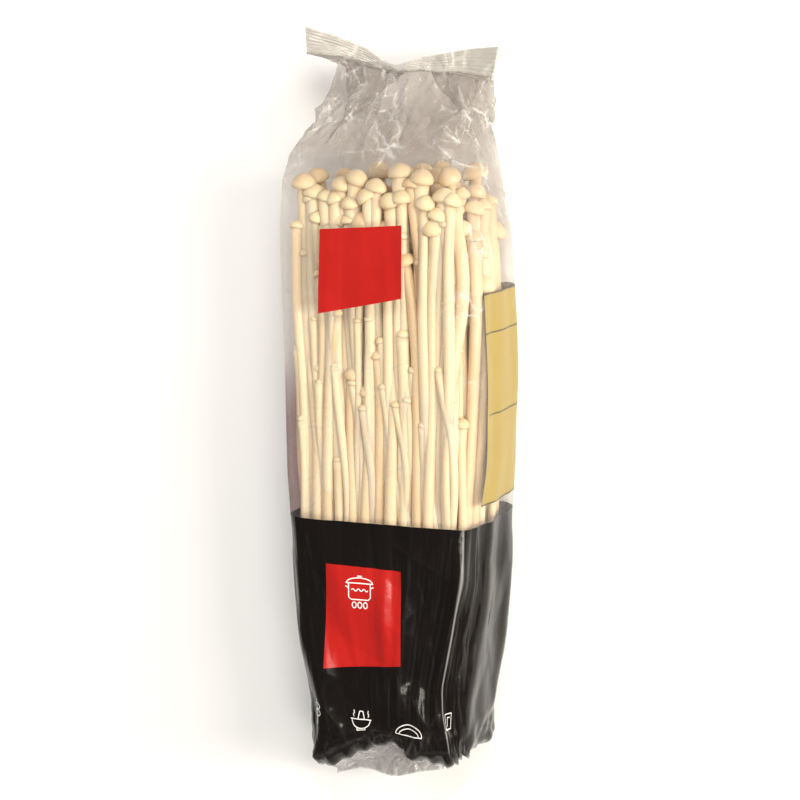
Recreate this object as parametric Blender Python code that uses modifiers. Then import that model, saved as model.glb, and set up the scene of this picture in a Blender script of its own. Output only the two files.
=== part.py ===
"""A retail bunch of enoki mushrooms in its side-gusseted film bag, lying on the bag's back panel.

Metres, +Z up. X runs across the bunch, Y along the stems with the caps towards +Y, and Z from the back
panel on the table (z = 0) to the front panel. The origin is the bottom centre of the whole object.
"""

import math

import bmesh
import bpy
import numpy as np

# ---------------------------------------------------------------- driving dimensions
# Bunch, along Y
CUT_Y = -0.0958            # flat cut end of the root base
BASE_TOP_Y = -0.0720       # where the fused base ends and the tufts stand
FOOT_TOP_Y = -0.0660       # where the stems of one tuft come apart
CROWN_Y = 0.0710           # tip of the tallest cap
BASE_SIZE = (0.0470, 0.0350)   # root base, across X and Z
BASE_CORNER = 0.0080
BUNCH_Z = 0.0210           # height of the bunch's centre line above the table

# Tufts: a grid of them, each with four mushrooms on one foot
TUFT_COLUMNS, TUFT_ROWS = 6, 5
TUFT_PITCH = (0.00766, 0.00692)
FOOT_RADIUS = 0.00340
STEM_STEP = (0.0036, 0.0034)   # spacing of the four stems on a foot

# Mushrooms
STEM_RADIUS = (0.00118, 0.00158)
CAP_RADIUS_TALL = (0.0024, 0.0040)
CAP_RADIUS_SHORT = (0.0017, 0.0025)
CAP_HEIGHT_SHARE = 1.15        # cap height over cap radius
SPREAD = (0.30, 0.24)          # how much the bunch widens to its crown, across X and Z
SWAY = 0.0010                  # size of the slow waves in the stems
SEED = 11

# Film bag
FILM = 0.00020             # wall thickness
LAYER = 0.0015             # largest spacing of the film layers where the gussets are folded in
GUSSET = 0.0165            # how far the middle of a side panel is tucked in at both seals
LAP = 0.0025               # half the width of the lapped back seam
SQUARENESS = 5.0           # exponent of the bag's rounded-box section
CORNER_SHARE = 0.87        # where a panel's corner lies on that section, as a share of the half width
FLAT_BACK = 0.0006         # how much of the rounded back is pressed flat on the table

# Sections of the bag along Y: (y, left half width, right half width, height, mid height, gusset fold 0 to 1)
BAG_SECTIONS = (
    (-0.1112, 0.0236, 0.0226, 0.0038, 0.0150, 1.00),   # tip of the bottom seal
    (-0.1072, 0.0244, 0.0244, 0.0072, 0.0160, 1.00),   # root of the bottom seal
    (-0.1030, 0.0252, 0.0250, 0.0180, 0.0184, 0.60),
    (-0.1000, 0.0264, 0.0264, 0.0320, 0.0200, 0.18),
    (-0.0975, 0.0270, 0.0270, 0.0394, 0.0205, 0.00),   # over the cut end
    (-0.0930, 0.0272, 0.0272, 0.0404, 0.0208, 0.00),
    (-0.0670, 0.0276, 0.0276, 0.0408, 0.0210, 0.00),
    (-0.0370, 0.0280, 0.0280, 0.0414, 0.0213, 0.00),
    (-0.0070, 0.0286, 0.0286, 0.0420, 0.0216, 0.00),
    (0.0230, 0.0292, 0.0292, 0.0430, 0.0221, 0.00),
    (0.0530, 0.0300, 0.0300, 0.0438, 0.0225, 0.00),
    (0.0670, 0.0300, 0.0300, 0.0438, 0.0225, 0.00),
    (0.0740, 0.0288, 0.0296, 0.0410, 0.0222, 0.06),    # over the caps
    (0.0805, 0.0262, 0.0284, 0.0310, 0.0212, 0.30),    # shoulder
    (0.0870, 0.0222, 0.0276, 0.0180, 0.0198, 0.66),    # neck
    (0.0935, 0.0240, 0.0288, 0.0044, 0.0185, 1.00),    # root of the top seal
    (0.1005, 0.0272, 0.0292, 0.0030, 0.0180, 1.00),    # tip of the top seal
)
PANEL_STEPS = 3            # columns on half of the front or back panel
GUSSET_STEPS = 2           # columns on half of a side panel

# The top seal is pinched at one point, so that its two arms rise from there
PINCH_X = -0.0040
PINCH_FROM_Y, PINCH_FULL_Y = 0.0770, 0.0935
ARM_RISE = (0.52, 0.21)    # rise of the left and the right arm, over their length
ARM_SOFTNESS = 0.0030


# ---------------------------------------------------------------- small helpers
def smoothstep(value, low, high):
    t = np.clip((np.asarray(value, float) - low) / (high - low), 0.0, 1.0)
    return t * t * (3.0 - 2.0 * t)


def material(name, colour, roughness, metallic=0.0, alpha=1.0):
    made = bpy.data.materials.new(name)
    made.use_nodes = True
    shader = made.node_tree.nodes["Principled BSDF"]
    shader.inputs["Base Color"].default_value = (*colour, 1.0)
    shader.inputs["Roughness"].default_value = roughness
    shader.inputs["Metallic"].default_value = metallic
    shader.inputs["Alpha"].default_value = alpha
    made.diffuse_color = (*colour, alpha)
    return made


def add_object(name, data, collection, finish=None):
    made = bpy.data.objects.new(name, data)
    collection.objects.link(made)
    if finish is not None:
        made.data.materials.append(finish)
    return made


def welded_copy(curve_object, name, collection):
    """A mesh object of a bevelled curve, with its caps welded to its sides."""
    graph = bpy.context.evaluated_depsgraph_get()
    mesh = bpy.data.meshes.new_from_object(curve_object.evaluated_get(graph))
    cleaned = bmesh.new()
    cleaned.from_mesh(mesh)
    bmesh.ops.remove_doubles(cleaned, verts=cleaned.verts, dist=1e-6)
    bmesh.ops.recalc_face_normals(cleaned, faces=cleaned.faces)
    cleaned.to_mesh(mesh)
    cleaned.free()
    made = add_object(name, mesh, collection)
    made.matrix_world = curve_object.matrix_world
    bpy.data.objects.remove(curve_object)
    return made


# ---------------------------------------------------------------- how the bunch grows
def envelope_at(y):
    """Half width and half height of the room that the mushrooms have inside the film at y."""
    stations = np.array(BAG_SECTIONS)
    clearance = FILM + 0.0008
    half_width = np.interp(y, stations[:, 0], stations[:, 1:3].min(axis=1)) - clearance
    half_height = np.interp(y, stations[:, 0], stations[:, 3]) / 2 - clearance - FLAT_BACK
    return half_width, half_height


def plan_mushrooms():
    """Foot positions, tuft numbers, tip heights, cap radii and stem radii of all mushrooms, as arrays."""
    draw = np.random.default_rng(SEED)
    feet, tuft_of = [], []
    for column in range(TUFT_COLUMNS):
        for row in range(TUFT_ROWS):
            centre_x = (column - (TUFT_COLUMNS - 1) / 2) * TUFT_PITCH[0]
            centre_z = (row - (TUFT_ROWS - 1) / 2) * TUFT_PITCH[1]
            for side_x in (-0.5, 0.5):
                for side_z in (-0.5, 0.5):
                    feet.append((centre_x + side_x * STEM_STEP[0], centre_z + side_z * STEM_STEP[1]))
                    tuft_of.append(column * TUFT_ROWS + row)
    feet = np.array(feet)
    count = len(feet)
    outer = np.clip(np.abs(2 * feet / BASE_SIZE).max(axis=1), 0, 1)     # 1 on the outermost rows
    tall = draw.random(count) > 0.06 + 0.36 * smoothstep(outer, 0.6, 0.9)
    tip = CROWN_Y - np.where(
        tall,
        0.016 * outer**3 + 0.020 * draw.random(count) ** 1.2,
        0.034 + 0.050 * draw.random(count),
    )
    cap = np.where(tall, draw.uniform(*CAP_RADIUS_TALL, count), draw.uniform(*CAP_RADIUS_SHORT, count))
    stem = draw.uniform(*STEM_RADIUS, count) * np.where(tall, 1.0, 0.86)
    return feet, np.array(tuft_of), tip, cap, stem


LEVELS = np.arange(FOOT_TOP_Y, CROWN_Y + 0.0015, 0.0022)
GROWN = (LEVELS - FOOT_TOP_Y) / (CROWN_Y - FOOT_TOP_Y)     # 0 at the foot, 1 at the crown
FREE_ROUNDS, STRAIGHT_ROUNDS = 200, 120
RING_START = BASE_TOP_Y + 0.0020                         # inside the foot
STEM_SHARES = (0.0, 0.36, 0.64, 0.84, 1.0)               # where a stem's rings lie along it
GAP = 0.0007               # least room between two mushrooms
CAP_ROOM = 0.0010          # how far a cap's own room reaches past it, along the stem


def swaying_start(feet):
    """Where the stems would be without neighbours: spreading from their feet, with slow random waves."""
    draw = np.random.default_rng(SEED + 1)
    waves = np.arange(1, 4)[:, None] * math.pi * GROWN
    strength = draw.normal(0, 1, (len(feet), 2, 3)) / np.arange(1, 4) ** 1.1
    phase = draw.uniform(0, 2 * math.pi, (len(feet), 2, 3, 1))
    bend = (strength[..., None] * (np.sin(waves + phase) - np.sin(phase))).sum(axis=2)
    spread = 1 + np.outer(GROWN, SPREAD)
    return feet[:, None] * spread + SWAY * np.swapaxes(bend, 1, 2) * smoothstep(GROWN, 0, 0.35)[:, None]


def disc_radii(tip, cap, stem):
    """Each mushroom's radius at each level: the stem's, then the cap's, then 0 above the tip."""
    below = LEVELS < (tip - CAP_HEIGHT_SHARE * cap - CAP_ROOM)[:, None]
    beside = LEVELS < (tip + CAP_ROOM)[:, None]
    return np.where(below, stem[:, None], np.where(beside, cap[:, None], 0.0))


def slide_of_caps(places, tip, cap):
    """How far each cap wants to move along its stem, away from the caps that it meets."""
    middle = tip - CAP_HEIGHT_SHARE * cap / 2
    centre = np.array([[np.interp(m, LEVELS, p[:, 0]), np.interp(m, LEVELS, p[:, 1])] for m, p in zip(middle, places)])
    apart = np.linalg.norm(centre[:, None] - centre, axis=2)
    both = cap[:, None] + cap
    along = middle[:, None] - middle
    beside = np.clip(3 * (both + GAP - apart) / both, 0, 1) * (1 - np.eye(len(tip)))
    missing = np.clip(CAP_HEIGHT_SHARE * both / 2 + 2 * CAP_ROOM - np.abs(along), 0, None)
    return (missing * beside * np.sign(along)).sum(axis=1)


def pushed_apart(places, radius):
    """How far each disc moves away from the discs that it meets at its level."""
    at, size = np.swapaxes(places, 0, 1), radius.T
    apart_x, apart_z = (at[:, :, None, k] - at[:, None, :, k] for k in (0, 1))
    distance = np.sqrt(apart_x**2 + apart_z**2) + 1e-9
    there = (size[:, :, None] > 0) & (size[:, None, :] > 0)
    push = np.clip((size[:, :, None] + size[:, None, :] + GAP) * there - distance, 0, None) / distance
    push *= 1 - np.eye(len(radius))
    return np.swapaxes(np.stack([(push * apart_x).sum(axis=2), (push * apart_z).sum(axis=2)], axis=2), 0, 1)


def ring_shares(tip, cap):
    """How much each ring of a straight-segmented stem says about each level: (mushroom, level, ring)."""
    rings = RING_START + np.outer(tip - CAP_HEIGHT_SHARE * cap - RING_START, STEM_SHARES)
    last = len(STEM_SHARES) - 2
    before = np.clip((LEVELS[None, :, None] >= rings[:, None]).sum(axis=2) - 1, 0, last)[..., None]
    low, high = (np.take_along_axis(rings[:, None], before + k, axis=2) for k in (0, 1))
    share = (LEVELS[None, :, None] - low) / (high - low)
    shares = np.zeros((len(tip), len(LEVELS), len(STEM_SHARES)))
    np.put_along_axis(shares, before, 1 - share, axis=2)
    np.put_along_axis(shares, before + 1, share, axis=2)
    return shares


def straightened(places, shares, feet, weight):
    """The stems made of straight segments that follow places best, starting at their feet."""
    fixed, free = shares[..., :1] * feet[:, None], shares[..., 1:]
    weighted = np.swapaxes(free * weight[..., None], 1, 2)
    rings = np.linalg.solve(weighted @ free, weighted @ (places - fixed))
    return fixed + free @ rings


def settle(feet, tip, cap, stem):
    """Lets the mushrooms find room for themselves, as they do while they grow.

    Every mushroom is a stack of discs. Discs that come too near push each other away, the film pushes
    them in, caps slide along their stems away from other caps, and each stem is smoothed along its length.
    In the last rounds the tips stay, and the stems are made of straight segments. Returns places with the
    shape (mushroom, level, x and z), and the tips.
    """
    places = swaying_start(feet)
    half_width, half_height = envelope_at(LEVELS)
    lowest, highest = tip - 0.012, np.minimum(tip + 0.012, CROWN_Y)
    for turn in range(FREE_ROUNDS + STRAIGHT_ROUNDS):
        radius = disc_radii(tip, cap, stem)
        before = places
        places = places + 0.36 * pushed_apart(places, radius)
        room = np.stack([half_width - radius, half_height - radius], axis=2)
        outside = (np.abs(places / room) ** SQUARENESS).sum(axis=2) ** (1 / SQUARENESS)
        places = places / np.clip(outside, 1, None)[..., None]
        if turn < FREE_ROUNDS:
            tip = np.clip(tip + 0.06 * slide_of_caps(places, tip, cap), lowest, highest)
            for _ in range(2):
                places[:, 1:-1] = (places[:, :-2] + 2 * places[:, 1:-1] + places[:, 2:]) / 4
                places[:, -1] = (2 * places[:, -2] - places[:, -3] + places[:, -1]) / 2
            places[:, 0] = feet
        else:
            moved = np.abs(places - before).max(axis=2) > 1e-8
            weight = (0.04 + moved) * (radius > 0) + 1e-6
            places = straightened(places, ring_shares(tip, cap), feet, weight)
        places, tip = np.round(places, 9), np.round(tip, 9)
    return places, tip


def point_on_stem(places, y):
    """The (x, y, z) of one mushroom's centre line at y, in world coordinates."""
    x = np.interp(y, LEVELS, places[:, 0])
    z = np.interp(y, LEVELS, places[:, 1]) + BUNCH_Z
    return (float(x), float(y), float(z))


# ---------------------------------------------------------------- mushrooms and root base
CAP_PROFILE = ((0.00, 1.00), (0.50, 0.90), (0.97, 0.42))   # (share of cap height, share of cap radius)


def mushroom_solid(name, places, tip, cap, stem, collection):
    """One mushroom as a bevelled curve whose radius swells to the cap at its tip."""
    underside = tip - CAP_HEIGHT_SHARE * cap
    points = [(*point_on_stem(places, RING_START + s * (underside - RING_START)), stem) for s in STEM_SHARES]
    below, above = (np.array(point_on_stem(places, underside + d)) for d in (-0.004, 0.0))
    along = (above - below) / np.linalg.norm(above - below)
    for share, width in CAP_PROFILE:
        place = above + along * (0.0004 + share * (CAP_HEIGHT_SHARE * cap - 0.0004))
        points.append((*place, cap * width))
    curve = bpy.data.curves.new(name, "CURVE")
    curve.dimensions = "3D"
    curve.bevel_depth = 1.0
    curve.bevel_resolution = 1
    curve.use_fill_caps = True
    spline = curve.splines.new("POLY")
    spline.points.add(len(points) - 1)
    for point, (x, y, z, radius) in zip(spline.points, points):
        point.co = (x, y, z, 1.0)
        point.radius = radius
    bent = add_object(name + "_curve", curve, collection)
    bpy.context.view_layer.update()
    return welded_copy(bent, name, collection)


def make_tufts(parts, guides, finish):
    """Thirty tufts, each a short fused foot with four mushrooms joined to it as one body."""
    feet, tuft_of, tip, cap, stem = plan_mushrooms()
    places, tip = settle(feet, tip, cap, stem)
    for tuft in range(TUFT_COLUMNS * TUFT_ROWS):
        members = np.flatnonzero(tuft_of == tuft)
        centre = feet[members].mean(axis=0)
        bpy.ops.mesh.primitive_cylinder_add(
            vertices=10,
            radius=FOOT_RADIUS,
            depth=FOOT_TOP_Y - BASE_TOP_Y - 0.0003,
            location=(centre[0], (FOOT_TOP_Y + BASE_TOP_Y + 0.0003) / 2, centre[1] + BUNCH_Z),
            rotation=(math.pi / 2, 0, 0),
        )
        body = bpy.context.object
        body.name = f"tuft_{tuft + 1:02d}"
        for holder in list(body.users_collection):
            holder.objects.unlink(body)
        parts.objects.link(body)
        body.data.materials.append(finish)
        for number, i in enumerate(members, start=1):
            grown = mushroom_solid(f"mushroom_{tuft + 1:02d}_{number}", places[i], tip[i], cap[i], stem[i], guides)
            grown.hide_render = True
            grown.display_type = "WIRE"
            join = body.modifiers.new(f"join_{number}", "BOOLEAN")
            join.operation = "UNION"
            join.solver = "EXACT"
            join.object = grown
    return places


def make_root_base(parts, finish):
    """The fused base that all tufts stand on: a block with rounded long edges and a flat cut end."""
    mesh = bpy.data.meshes.new("root_base")
    block = bmesh.new()
    bmesh.ops.create_cube(block, size=1.0)
    length = BASE_TOP_Y - CUT_Y
    bmesh.ops.scale(block, vec=(BASE_SIZE[0], length, BASE_SIZE[1]), verts=block.verts)
    long_edges = [e for e in block.edges if abs(e.verts[0].co.y - e.verts[1].co.y) > length / 2]
    bmesh.ops.bevel(block, geom=long_edges, offset=BASE_CORNER, segments=4, profile=0.5, affect="EDGES")
    block.to_mesh(mesh)
    block.free()
    base = add_object("root_base", mesh, parts, finish)
    base.location = (0, (BASE_TOP_Y + CUT_Y) / 2, BUNCH_Z)
    return base


# ---------------------------------------------------------------- film bag
def half_section():
    """Columns of one half of the bag's section from the back centre to the front centre.

    Each row is (panel share, gusset share, side): how far the column lies along the half back panel or the
    half front panel, how far down the folded side panel, and -1 for the back or +1 for the front.
    """
    panel = [(i / PANEL_STEPS, None) for i in range(PANEL_STEPS + 1)]
    side = [(None, i / GUSSET_STEPS) for i in range(GUSSET_STEPS + 1)]
    back = [(p, g, -1) for p, g in panel + [("turn", None)] + side]
    front = [(p, g, 1) for p, g in reversed(panel + [("turn", None)] + side)]
    return back + [(None, "crease", 0)] + front


def rounded_box(x_share, half_width, half_height):
    """Height above the middle of the rounded-box section, where x is that share of the half width."""
    return half_height * (1 - min(abs(x_share), 1.0) ** SQUARENESS) ** (1 / SQUARENESS)


def layer_at(height, fold):
    """Spacing of the film layers at a section: tight in the seals, wider where they fan out."""
    return min(LAYER, height / 3.6) * fold + 0.0007 * (1 - fold)


def section_point(column, half_width, height, fold):
    """(x, z) of a column of the right half: a rounded box where fold is 0, gussets folded in where it is 1."""
    panel, gusset, side = column
    half_height, layer = height / 2, layer_at(height, fold)
    corner_z = rounded_box(CORNER_SHARE, half_width, half_height)
    tucked = GUSSET * math.sqrt(max(0.0, 1 - (half_height / GUSSET) ** 2)) if half_height < GUSSET else 0.0
    if panel == "turn":
        full = (half_width * 0.965, side * half_height * 0.80)
        flat = (half_width + layer / 8, side * (half_height - layer / 2))
    elif panel is not None:
        share = panel * CORNER_SHARE
        full = (half_width * share, side * rounded_box(share, half_width, half_height))
        flat = (half_width * panel, side * half_height)
    elif gusset == "crease":
        full = (half_width, 0.0)
        flat = (half_width - tucked - layer / 2, 0.0)
    else:
        full = (half_width * 0.995, side * corner_z * 0.80 * (1 - gusset * 0.85))
        drop = (half_height - layer) * (1 - gusset) + layer / 2 * gusset
        flat = (half_width - tucked * gusset, side * drop)
    return tuple(a * (1 - fold) + b * fold for a, b in zip(full, flat))


def pinched(x, y):
    """Moves a point of the bag's end sideways and up, as the arms of the pinched top seal rise."""
    amount = float(smoothstep(y, PINCH_FROM_Y, PINCH_FULL_Y))
    rise = ARM_RISE[0] if x < PINCH_X else ARM_RISE[1]
    reach = math.hypot(x - PINCH_X, ARM_SOFTNESS) - ARM_SOFTNESS
    lean = math.copysign(1, PINCH_X - x) * rise * min(1.0, abs(x - PINCH_X) / 0.010)
    return x + amount * lean * (y - PINCH_FULL_Y) * 0.8, y + amount * rise * reach


def bag_row(station):
    """The points of one section of the bag, from the lapped seam's inner edge round to its outer edge."""
    y, left, right, height, middle, fold = station
    floor = -height / 2
    pressed, lap = FLAT_BACK * (1 - fold), layer_at(height, fold) + 0.0006 * math.sin(math.pi * fold)
    columns = half_section()
    right_side = [section_point(c, right, height, fold) for c in columns]
    left_side = [section_point(c, left, height, fold) for c in columns]
    inner = [(-LAP, floor + pressed + lap), (LAP, floor + pressed + lap)]
    outer = [(-LAP - 0.0026, floor + pressed), (LAP, floor + pressed)]
    ring = inner + right_side[1:] + [(-x, z) for x, z in reversed(left_side[1:-1])] + outer
    return [(*pinched(x, y), middle + max(z, floor + pressed)) for x, z in ring]


def make_film_bag(parts, finish):
    """One sheet of film round the bunch, lapped along the back and folded flat at both seals."""
    rows = [bag_row(station) for station in BAG_SECTIONS]
    lowest = min(z for row in rows for _, _, z in row)
    across = len(rows[0])
    points = [(x, y, z - lowest) for row in rows for x, y, z in row]
    faces = [
        (r * across + c, (r + 1) * across + c, (r + 1) * across + c + 1, r * across + c + 1)
        for r in range(len(rows) - 1)
        for c in range(across - 1)
    ]
    mesh = bpy.data.meshes.new("film_bag")
    mesh.from_pydata(points, [], faces)
    bag = add_object("film_bag", mesh, parts, finish)
    wall = bag.modifiers.new("film_thickness", "SOLIDIFY")
    wall.thickness = FILM
    wall.offset = -1.0
    return bag


def main():
    for old in list(bpy.data.objects):
        bpy.data.objects.remove(old, do_unlink=True)
    parts = bpy.data.collections.new("enoki_bunch")
    guides = bpy.data.collections.new("guides")
    for collection in (parts, guides):
        bpy.context.scene.collection.children.link(collection)
    flesh = material("mushroom_flesh", (0.90, 0.84, 0.68), 0.45)
    base = material("root_flesh", (0.80, 0.70, 0.52), 0.70)
    film = material("clear_film", (0.80, 0.79, 0.80), 0.12, alpha=0.35)
    make_tufts(parts, guides, flesh)
    make_root_base(parts, base)
    make_film_bag(parts, film)
    for piece in parts.objects:
        piece.data.shade_smooth()
        piece.data.set_sharp_from_angle(angle=math.radians(40))


main()
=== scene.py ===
"""Looks of the enoki bunch in its film bag: fine mushrooms, crumpled clear film, print, stage and camera.

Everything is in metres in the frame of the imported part: X across, Y along the stems to the caps, Z up from
the back panel on the table. The tufts are grown by the same rule as the solids, so each stands where its
solid stands, and are then pressed a little under the film. The film is one surface over (u, v): u runs round
the bag in millimetres from the back seam, v runs along it in millimetres from the bottom seal to the top.
"""

import math

import bmesh
import bpy
import numpy as np
from mathutils import Matrix, Vector


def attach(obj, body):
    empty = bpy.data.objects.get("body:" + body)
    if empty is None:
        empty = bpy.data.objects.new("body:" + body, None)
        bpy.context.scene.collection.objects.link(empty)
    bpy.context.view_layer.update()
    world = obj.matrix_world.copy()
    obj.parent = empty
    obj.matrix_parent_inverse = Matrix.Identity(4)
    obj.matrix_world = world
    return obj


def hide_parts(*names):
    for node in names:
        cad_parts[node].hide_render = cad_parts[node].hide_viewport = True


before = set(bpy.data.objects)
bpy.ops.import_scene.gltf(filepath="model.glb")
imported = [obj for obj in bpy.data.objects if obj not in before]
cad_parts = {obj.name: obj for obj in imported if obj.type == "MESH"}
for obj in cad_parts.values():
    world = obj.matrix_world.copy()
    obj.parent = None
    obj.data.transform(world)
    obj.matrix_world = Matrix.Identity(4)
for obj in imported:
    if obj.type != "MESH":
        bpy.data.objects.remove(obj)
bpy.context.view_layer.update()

# ---------------------------------------------------------------- the bunch, as the part grows it
BASE_TOP_Y, FOOT_TOP_Y, CROWN_Y, CUT_Y = -0.0720, -0.0660, 0.0710, -0.0958
BASE_SIZE, BUNCH_Z = (0.0470, 0.0350), 0.0210
TUFT_COLUMNS, TUFT_ROWS, TUFT_PITCH = 6, 5, (0.00766, 0.00692)
STEM_STEP = (0.0036, 0.0034)
STEM_RADIUS = (0.00118, 0.00158)
CAP_RADIUS_TALL, CAP_RADIUS_SHORT = (0.0024, 0.0040), (0.0017, 0.0025)
CAP_HEIGHT_SHARE, SPREAD, SWAY, SEED, SQUARENESS = 1.15, (0.30, 0.24), 0.0010, 11, 5.0
ROOM_SECTIONS = (      # y, least half width and height of the film, where the stems are
    (-0.0975, 0.0270, 0.0394), (-0.0930, 0.0272, 0.0404), (-0.0670, 0.0276, 0.0408),
    (-0.0370, 0.0280, 0.0414), (-0.0070, 0.0286, 0.0420), (0.0230, 0.0292, 0.0430),
    (0.0530, 0.0300, 0.0438), (0.0670, 0.0300, 0.0438), (0.0740, 0.0288, 0.0410),
)
LEVELS = np.arange(FOOT_TOP_Y, CROWN_Y + 0.0015, 0.0022)
GROWN = (LEVELS - FOOT_TOP_Y) / (CROWN_Y - FOOT_TOP_Y)
FREE_ROUNDS, STRAIGHT_ROUNDS, GAP, CAP_ROOM = 200, 120, 0.0007, 0.0010
RING_START, STEM_SHARES = BASE_TOP_Y + 0.0020, (0.0, 0.36, 0.64, 0.84, 1.0)


def smoothstep(value, low, high):
    t = np.clip((np.asarray(value, float) - low) / (high - low), 0.0, 1.0)
    return t * t * (3.0 - 2.0 * t)


def envelope_at(y):
    """Half width and half height of the room inside the film at y."""
    sections = np.array(ROOM_SECTIONS)
    half_width, height = (np.interp(y, sections[:, 0], sections[:, k]) for k in (1, 2))
    return half_width - 0.0010, height / 2 - 0.0016


def plan_mushrooms():
    """Foot positions, tuft numbers, tip heights, cap radii and stem radii: the part's own plan."""
    draw = np.random.default_rng(SEED)
    feet, tuft_of = [], []
    for column in range(TUFT_COLUMNS):
        for row in range(TUFT_ROWS):
            centre_x = (column - (TUFT_COLUMNS - 1) / 2) * TUFT_PITCH[0]
            centre_z = (row - (TUFT_ROWS - 1) / 2) * TUFT_PITCH[1]
            for side_x in (-0.5, 0.5):
                for side_z in (-0.5, 0.5):
                    feet.append((centre_x + side_x * STEM_STEP[0], centre_z + side_z * STEM_STEP[1]))
                    tuft_of.append(column * TUFT_ROWS + row)
    feet = np.array(feet)
    count = len(feet)
    outer = np.clip(np.abs(2 * feet / BASE_SIZE).max(axis=1), 0, 1)
    tall = draw.random(count) > 0.06 + 0.36 * smoothstep(outer, 0.6, 0.9)
    tip = CROWN_Y - np.where(
        tall,
        0.016 * outer**3 + 0.020 * draw.random(count) ** 1.2,
        0.034 + 0.050 * draw.random(count),
    )
    cap = np.where(tall, draw.uniform(*CAP_RADIUS_TALL, count), draw.uniform(*CAP_RADIUS_SHORT, count))
    stem = draw.uniform(*STEM_RADIUS, count) * np.where(tall, 1.0, 0.86)
    return feet, np.array(tuft_of), tip, cap, stem


def swaying_start(feet):
    """Stems spreading from their feet, with slow random waves: sums of three sines along the length."""
    draw = np.random.default_rng(SEED + 1)
    waves = np.arange(1, 4)[:, None] * math.pi * GROWN
    strength = draw.normal(0, 1, (len(feet), 2, 3)) / np.arange(1, 4) ** 1.1
    phase = draw.uniform(0, 2 * math.pi, (len(feet), 2, 3, 1))
    bend = (strength[..., None] * (np.sin(waves + phase) - np.sin(phase))).sum(axis=2)
    spread = 1 + np.outer(GROWN, SPREAD)
    return feet[:, None] * spread + SWAY * np.swapaxes(bend, 1, 2) * smoothstep(GROWN, 0, 0.35)[:, None]


def disc_radii(tip, cap, stem):
    """Each mushroom's radius at each level: the stem's, then the cap's, then 0 above the tip."""
    below = LEVELS < (tip - CAP_HEIGHT_SHARE * cap - CAP_ROOM)[:, None]
    beside = LEVELS < (tip + CAP_ROOM)[:, None]
    return np.where(below, stem[:, None], np.where(beside, cap[:, None], 0.0))


def slide_of_caps(places, tip, cap):
    """How far each cap wants to move along its stem, away from the caps that it meets."""
    middle = tip - CAP_HEIGHT_SHARE * cap / 2
    centre = np.array([[np.interp(m, LEVELS, p[:, k]) for k in (0, 1)] for m, p in zip(middle, places)])
    apart = np.linalg.norm(centre[:, None] - centre, axis=2)
    both = cap[:, None] + cap
    along = middle[:, None] - middle
    beside = np.clip(3 * (both + GAP - apart) / both, 0, 1) * (1 - np.eye(len(tip)))
    missing = np.clip(CAP_HEIGHT_SHARE * both / 2 + 2 * CAP_ROOM - np.abs(along), 0, None)
    return (missing * beside * np.sign(along)).sum(axis=1)


def pushed_apart(places, radius):
    """How far each disc moves away from the discs that it meets at its level."""
    at, size = np.swapaxes(places, 0, 1), radius.T
    apart_x, apart_z = (at[:, :, None, k] - at[:, None, :, k] for k in (0, 1))
    distance = np.sqrt(apart_x**2 + apart_z**2) + 1e-9
    there = (size[:, :, None] > 0) & (size[:, None, :] > 0)
    push = np.clip((size[:, :, None] + size[:, None, :] + GAP) * there - distance, 0, None) / distance
    push *= 1 - np.eye(len(radius))
    return np.swapaxes(np.stack([(push * apart_x).sum(axis=2), (push * apart_z).sum(axis=2)], axis=2), 0, 1)


def ring_shares(tip, cap):
    """How much each ring of a straight-segmented stem says about each level: (mushroom, level, ring)."""
    rings = RING_START + np.outer(tip - CAP_HEIGHT_SHARE * cap - RING_START, STEM_SHARES)
    last = len(STEM_SHARES) - 2
    before = np.clip((LEVELS[None, :, None] >= rings[:, None]).sum(axis=2) - 1, 0, last)[..., None]
    low, high = (np.take_along_axis(rings[:, None], before + k, axis=2) for k in (0, 1))
    share = (LEVELS[None, :, None] - low) / (high - low)
    shares = np.zeros((len(tip), len(LEVELS), len(STEM_SHARES)))
    np.put_along_axis(shares, before, 1 - share, axis=2)
    np.put_along_axis(shares, before + 1, share, axis=2)
    return shares


def straightened(places, shares, feet, weight):
    """The stems made of straight segments that follow places best, starting at their feet."""
    fixed, free = shares[..., :1] * feet[:, None], shares[..., 1:]
    weighted = np.swapaxes(free * weight[..., None], 1, 2)
    rings = np.linalg.solve(weighted @ free, weighted @ (places - fixed))
    return fixed + free @ rings


def settle(feet, tip, cap, stem):
    """The part's own rule: discs push each other apart inside the film, caps slide, stems are smoothed."""
    places = swaying_start(feet)
    half_width, half_height = envelope_at(LEVELS)
    lowest, highest = tip - 0.012, np.minimum(tip + 0.012, CROWN_Y)
    for turn in range(FREE_ROUNDS + STRAIGHT_ROUNDS):
        radius = disc_radii(tip, cap, stem)
        before = places
        places = places + 0.36 * pushed_apart(places, radius)
        room = np.stack([half_width - radius, half_height - radius], axis=2)
        outside = (np.abs(places / room) ** SQUARENESS).sum(axis=2) ** (1 / SQUARENESS)
        places = places / np.clip(outside, 1, None)[..., None]
        if turn < FREE_ROUNDS:
            tip = np.clip(tip + 0.06 * slide_of_caps(places, tip, cap), lowest, highest)
            for _ in range(2):
                places[:, 1:-1] = (places[:, :-2] + 2 * places[:, 1:-1] + places[:, 2:]) / 4
                places[:, -1] = (2 * places[:, -2] - places[:, -3] + places[:, -1]) / 2
            places[:, 0] = feet
        else:
            moved = np.abs(places - before).max(axis=2) > 1e-8
            weight = (0.04 + moved) * (radius > 0) + 1e-6
            places = straightened(places, ring_shares(tip, cap), feet, weight)
        places, tip = np.round(places, 9), np.round(tip, 9)
    return places, tip


# ---------------------------------------------------------------- mesh and shader helpers
SEAM_GAP = 1e-7


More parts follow.
